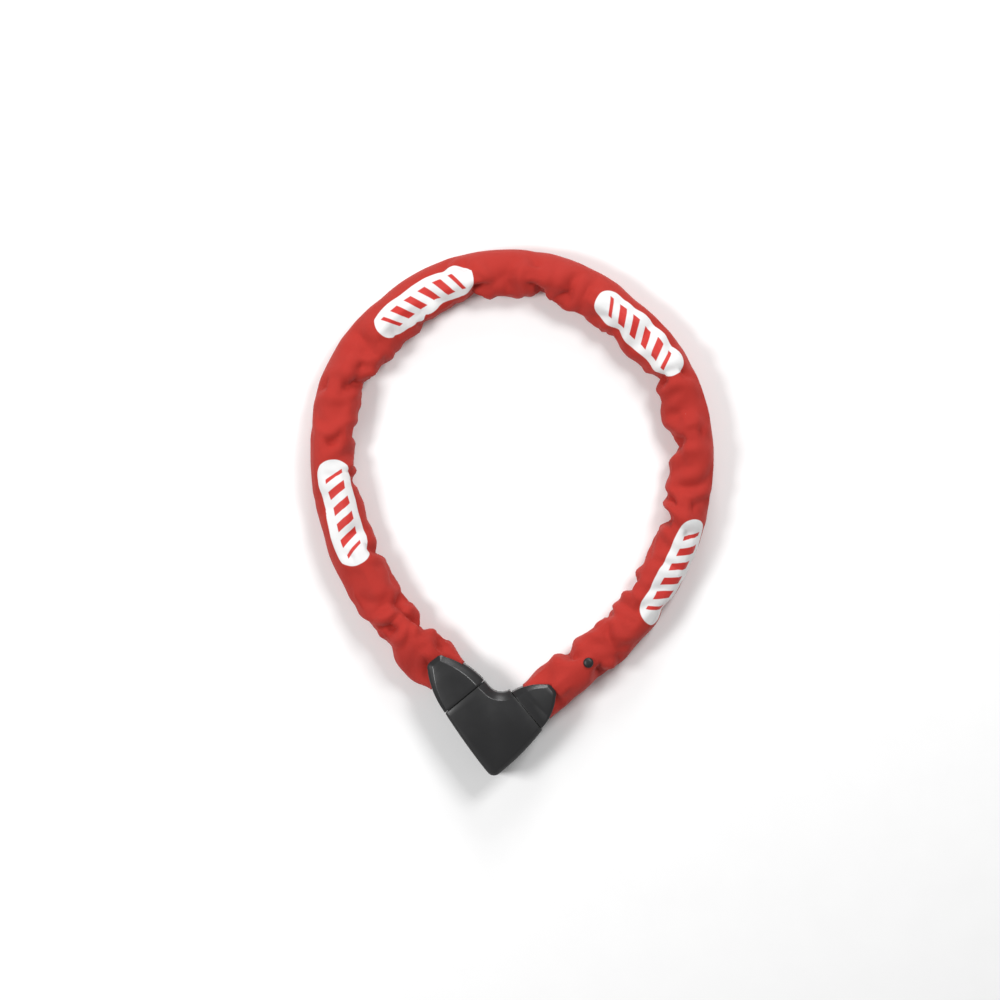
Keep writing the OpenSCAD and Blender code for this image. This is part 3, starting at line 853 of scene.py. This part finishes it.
def coloured_links(index, rest_of, step_i, step_j, stiffness, push_only=False):
    """Links from each point to the one step_i rings and step_j places on, in colours that don't touch."""
    rings, sides = index.shape
    made = []
    base = np.arange(rings - step_i)
    span = max(step_i, 1)
    for i_colour in range(2 if step_i else 1):
        rows = base[(base // span) % 2 == i_colour] if step_i else base
        for j_colour in range(2 if step_i == 0 else 1):
            cols = np.arange(sides)
            if step_i == 0:
                cols = cols[(cols // abs(step_j)) % 2 == j_colour]
            r, c = np.meshgrid(rows, cols, indexing="ij")
            first = index[r, c].ravel()
            second = index[r + step_i, (c + step_j) % sides].ravel()
            made.append(Links(first, second, rest_of(r.ravel(), c.ravel()), stiffness, push_only))
    return made


def cloth_links(index, s, theta):
    """The cloth's threads, cut to a smooth tube with some to spare, and its resistance to bending."""
    rings, sides = index.shape
    plain = to_world(s, *plain_tube(theta))
    along = np.linalg.norm(np.diff(plain, axis=0), axis=2)
    longest = along.max(axis=1, keepdims=True)
    extra = 0.10 * (1 - smoothstep((np.minimum(s - SLEEVE_FROM, SLEEVE_TO - s)[:-1] - 15) / 50.0))
    excess = 0.22 + 0.12 * -np.cos(theta[:-1])
    cut_along = along + (longest - along) * excess + along * extra
    girth = SLEEVE_GIRTH / sides

    def along_rest(r, c):
        return cut_along[r, c]

    def around_rest(r, _):
        return np.full(len(r), girth)

    def diagonal_rest(r, c):
        return np.hypot(cut_along[r, c], girth)

    def long_rest(steps):
        def rest(r, c):
            return sum(cut_along[np.minimum(r + k, rings - 2), c] for k in range(steps))
        return rest

    links = coloured_links(index, along_rest, 1, 0, 0.95)
    links += coloured_links(index, around_rest, 0, 1, 0.95)
    links += coloured_links(index, diagonal_rest, 1, 1, 0.35)
    links += coloured_links(index, diagonal_rest, 1, -1, 0.35)
    links += coloured_links(index, long_rest(3), 3, 0, 0.5, push_only=True)
    links += coloured_links(index, long_rest(6), 6, 0, 0.3, push_only=True)
    bend_around = 2 * (SLEEVE_GIRTH / (2 * math.pi)) * math.sin(4 * math.pi / sides)
    links += coloured_links(index, lambda r, c: np.full(len(r), bend_around), 0, 4, 0.25)
    return links


def relax_sleeve(points, s, theta):
    """Lets the cloth find its folds: it keeps its cut size and stays off chain, collars and floor."""
    rings, sides = s.shape
    index = np.arange(rings * sides).reshape(rings, sides)
    links = cloth_links(index, s, theta)
    flat = points.reshape(-1, 3).copy()
    start = flat.copy()
    weights = np.ones(rings * sides)
    weights[index[:2].ravel()] = 0
    weights[index[-2:].ravel()] = 0
    s_flat, theta_flat = s.ravel().copy(), theta.ravel()
    hold = 0.10 * np.abs(np.cos(theta_flat)) ** 6
    steps = 180
    for _ in range(steps):
        flat[:, 2] -= 0.02 * (weights > 0)
        for group in links:
            group.solve(flat, weights)
        flat[:, :2] += (start[:, :2] - flat[:, :2]) * hold[:, None]
        keep_clear(flat, s_flat, weights)
    press_creases(flat, s_flat, weights, s, theta)
    return flat.reshape(rings, sides, 3)


def smooth_cloth(grid, share):
    """Evens out the cloth between its first and last rings."""
    around = (np.roll(grid, 1, axis=1) + np.roll(grid, -1, axis=1)) / 2
    along = (grid[:-2] + grid[2:]) / 2
    mean = (along + around[1:-1]) / 2
    grid[2:-2] += share * (mean - grid[1:-1])[1:-1]


def press_creases(flat, s_now, weights, s, theta):
    """Evens out the smallest wrinkles, then presses the folds in."""
    rings, sides = s.shape
    grid = flat.reshape(rings, sides, 3)
    for _ in range(6):
        smooth_cloth(grid, 0.5)
    rng = np.random.default_rng(11)
    depth = crease_depth(s, theta, rng)
    end = np.minimum(s - SLEEVE_FROM, SLEEVE_TO - s)
    depth *= smoothstep((end - 4) / 12)
    low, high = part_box("sleeve_stud")
    stud = np.array([(low.x + high.x) / 2, (low.y + high.y) / 2]) * 1000
    depth *= smoothstep((np.linalg.norm(grid[..., :2] - stud, axis=2) - 3.5) / 5)
    middle = grid.mean(axis=1, keepdims=True)
    outward = grid - middle
    outward /= np.linalg.norm(outward, axis=2, keepdims=True)
    grid -= outward * depth[..., None]
    keep_clear(flat, s_now, weights)
    smooth_cloth(grid, 0.15)
    keep_clear(flat, s_now, weights)


def keep_clear(flat, s, weights):
    """Keeps the cloth off the floor, off the links and below the collars' tongues."""
    for _ in range(2):
        p = line_point(s)
        ahead = line_ahead(s)
        s += np.clip(((flat[:, :2] - p) * ahead).sum(axis=1), -2, 2)
        np.clip(s, -6, CHAIN_RUN + 6, out=s)
    p = line_point(s)
    ahead = line_ahead(s)
    side = np.stack([ahead[:, 1], -ahead[:, 0]], axis=1)
    a = ((flat[:, :2] - p) * side).sum(axis=1)
    h = flat[:, 2] - MID_Z
    new_a, new_h = chain_clearance(s, a, h, CLOTH_GAP)
    reach_in = FIXED_TIP + 0.6 - ANCHOR_X - s
    reach_out = PLUG_TIP + 0.6 - PLUG_PIN_Y - (CHAIN_RUN - s)
    under = np.maximum(reach_in, reach_out)
    limit = np.where(under > 0, CLOTH_UNDER_TONGUE, CLOTH_UNDER_TONGUE + np.clip(-under, 0, 3) * 0.9)
    new_h = np.where(under > -3, np.clip(new_h, -limit, limit), new_h)
    new_h = np.clip(new_h, FLOOR_GAP - MID_Z, CLOTH_TOP)
    move = weights > 0
    flat[:, :2] += side * ((new_a - a) * move)[:, None]
    flat[:, 2] += (new_h - h) * move


def to_world(s, a, h):
    """Points in millimetres from distance, offset and height."""
    ahead = line_ahead(s)
    p = line_point(s)
    return np.stack([p[..., 0] + ahead[..., 1] * a, p[..., 1] - ahead[..., 0] * a, MID_Z + h], axis=-1)


def plain_tube(theta):
    """A smooth tube along the same line, which the cloth is cut to."""
    return 13.6 * np.cos(theta), 13.2 * np.sin(theta)


def sleeve_weights(s):
    """How far each place of the sleeve follows the plug: as the links inside it do."""
    ratios = {}
    for coupling in frame["record"]["behaviour"]["couplings"]:
        if coupling["follows"] == "plug_slide":
            ratios[coupling["joint"]] = coupling["ratio"]
    shares = [ratios["link_%02d_shift" % (k + 1)] for k in range(len(LINK_ARC))]
    places = np.concatenate([[SLEEVE_FROM], LINK_ARC, [SLEEVE_TO]])
    values = np.concatenate([[0.0], shares, [1.0]])
    order = np.argsort(places)
    return np.interp(s, places[order], values[order])


# A patch coordinate, in millimetres, that no patch reaches
FAR_OFF = 500.0

# Printed patches: place along the middle line, and the way round the tube, in degrees from outwards
PATCHES = [(121, 58), (279, 90), (427, 96), (582, 95)]


def store_cloth(mesh, s, theta):
    """Cloth coordinates for the weave and the patches, in millimetres."""
    around = theta.ravel() / (2 * math.pi) * SLEEVE_GIRTH
    along = s.ravel()
    patch = np.full((len(along), 3), FAR_OFF)
    for place, turn in PATCHES:
        dx = along - place
        dy = (around - SLEEVE_GIRTH * turn / 360 + SLEEVE_GIRTH / 2) % SLEEVE_GIRTH - SLEEVE_GIRTH / 2
        near = (np.abs(dx) < 60) & (np.abs(dy) < 25)
        beside = (np.abs(dx) < 70) & ~near
        patch[near, 0] = dx[near]
        patch[near, 1] = dy[near]
        patch[beside, 1] = np.where(dy[beside] < 0, -FAR_OFF, FAR_OFF)
    across = np.where(theta.ravel() > math.pi, around - SLEEVE_GIRTH, around)
    cloth = np.stack([along * SLEEVE_GATHER, across, along * 0], axis=1)
    for name, values in (("cloth", cloth), ("patch", patch)):
        layer = mesh.attributes.new(name, "FLOAT_VECTOR", "POINT")
        layer.data.foreach_set("vector", values.astype(np.float32).ravel())


def make_sleeve(material):
    """The fabric tube, relaxed over the chain and given its thickness."""
    s1 = np.linspace(SLEEVE_FROM, SLEEVE_TO, RINGS)
    theta1 = 2 * math.pi * (np.arange(SIDES) + 0.5) / SIDES
    s, theta = np.meshgrid(s1, theta1, indexing="ij")
    a, h = sleeve_start(s, theta)
    rng = np.random.default_rng(7)
    a = a + rng.normal(0, 0.06, a.shape)
    points = to_world(s, a, h)
    points = relax_sleeve(points, s, theta)

    verts = points.reshape(-1, 3) / 1000
    quads = []
    for i in range(RINGS - 1):
        for j in range(SIDES):
            n = (j + 1) % SIDES
            quads.append((i * SIDES + j, (i + 1) * SIDES + j, (i + 1) * SIDES + n, i * SIDES + n))
    mesh = bpy.data.meshes.new("fabric_tube")
    mesh.from_pydata([tuple(v) for v in verts], [], quads)
    store_cloth(mesh, s, theta)
    obj = bpy.data.objects.new("fabric_tube", mesh)
    bpy.context.scene.collection.objects.link(obj)
    mesh.materials.append(material)
    for polygon in mesh.polygons:
        polygon.use_smooth = True
    thick = obj.modifiers.new("thickness", "SOLIDIFY")
    thick.thickness = 0.0005
    thick.offset = 1.0
    graph = bpy.context.evaluated_depsgraph_get()
    solid = bpy.data.meshes.new_from_object(obj.evaluated_get(graph))
    obj.modifiers.clear()
    obj.data = solid

    start = (*line_point(np.array(SLEEVE_FROM)) / 1000, MID_Z / 1000)
    stop = (*line_point(np.array(SLEEVE_TO)) / 1000, MID_Z / 1000)
    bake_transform(obj, "lock_body", "plug", start=start, end=stop)
    follow = sleeve_weights(np.concatenate([s.ravel(), s.ravel()]))
    if len(follow) != len(solid.vertices):
        raise SystemExit("the sleeve's points don't match its distances")
    solid.attributes["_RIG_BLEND"].data.foreach_set("value", follow.astype(np.float32))
    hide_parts("fabric_sleeve")


def make_stud(material):
    """The push rivet's domed head, sunk in the cloth."""
    low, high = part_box("sleeve_stud")
    centre = ((low.x + high.x) / 2, (low.y + high.y) / 2)
    profile = [(3.0, -2.1), (3.2, -0.7), (3.1, -0.1), (2.8, 0.35), (2.2, 0.75), (1.5, 0.95), (0.9, 1.0)]
    sides = 40
    bm = bmesh.new()
    rings = []
    for radius, z in profile:
        angles = [2 * math.pi * k / sides for k in range(sides)]
        rings.append([bm.verts.new((radius * math.cos(t), radius * math.sin(t), z)) for t in angles])
    for lower, upper in zip(rings, rings[1:]):
        for i in range(sides):
            n = (i + 1) % sides
            bm.faces.new((lower[i], lower[n], upper[n], upper[i]))
    bm.faces.new(rings[-1])
    bm.faces.new(list(reversed(rings[0])))
    stud = mesh_object("stud_head", bm)
    place = Matrix.Translation((centre[0], centre[1], low.z))
    stud.data.transform(place @ Matrix.Scale(0.001, 4))
    stud.data.materials.append(material)
    for polygon in stud.data.polygons:
        polygon.use_smooth = True
    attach(stud, "link_02")
    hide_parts("sleeve_stud")


def main():
    """Builds everything that is seen."""
    mats = make_materials()
    slots = {row["node"]: row["material_slot"] for row in frame["record"]["subparts"]}
    for name, obj in frame["nodes"].items():
        mat = mats[slots[name]]
        if obj.material_slots:
            for place in obj.material_slots:
                place.material = mat
        else:
            obj.data.materials.append(mat)
    make_shells(mats["cover_plastic"])
    make_stud(mats["inner_plastic"])
    make_sleeve(mats["sleeve_fabric"])


# ---------------------------------------------------------------- stage

# What the camera sees: the width at the object's middle, the camera's place and its sensor, in metres
# and millimetres
VIEW_WIDTH = 0.62
VIEW_CENTRE = (-0.00775, 0.00806)
CAMERA_HEIGHT = 3.0
SENSOR = 36.0


def area_light(name, place, target, size, power):
    """A soft square light that looks at a point."""
    data = bpy.data.lights.new(name, "AREA")
    data.size = size
    data.energy = power
    obj = bpy.data.objects.new(name, data)
    obj.location = place
    obj.rotation_euler = (Vector(target) - Vector(place)).to_track_quat("-Z", "Y").to_euler()
    bpy.context.scene.collection.objects.link(obj)


def make_stage():
    """A pale floor, soft light from above, and the camera that looks straight down."""
    bm = bmesh.new()
    bmesh.ops.create_grid(bm, x_segments=1, y_segments=1, size=3.0)
    floor = mesh_object("floor", bm)
    floor.location = (0, 0, -0.0003)
    mat, shader, tree = new_material("pale_floor")
    speck = noise(tree, object_coords(tree), 40.0)
    tree.links.new(
        mix_color(tree, speck, (0.90, 0.90, 0.90, 1), (0.93, 0.93, 0.93, 1)), shader.inputs["Base Color"]
    )
    shader.inputs["Roughness"].default_value = 0.9
    floor.data.materials.append(mat)

    scene = bpy.context.scene
    world = bpy.data.worlds.new("world")
    world.use_nodes = True
    world.node_tree.nodes["Background"].inputs[0].default_value = (1, 1, 1, 1)
    world.node_tree.nodes["Background"].inputs[1].default_value = 0.27
    scene.world = world
    area_light("left", (-0.9, -0.1, 1.1), (0, 0, 0), 0.4, 12)
    area_light("upper_right", (0.55, 0.62, 1.1), (0, 0, 0), 0.4, 9)
    area_light("top", (0.1, 1.5, 0.8), (0, 0, 0), 0.5, 10)
    scene.view_settings.view_transform = "Standard"

    data = bpy.data.cameras.new("camera")
    data.sensor_width = SENSOR
    data.lens = SENSOR * (CAMERA_HEIGHT - MID_Z / 1000) / VIEW_WIDTH
    data.clip_end = 20
    camera = bpy.data.objects.new("camera", data)
    camera.location = (*VIEW_CENTRE, CAMERA_HEIGHT)
    scene.collection.objects.link(camera)
    scene.camera = camera


make_stage()
main()
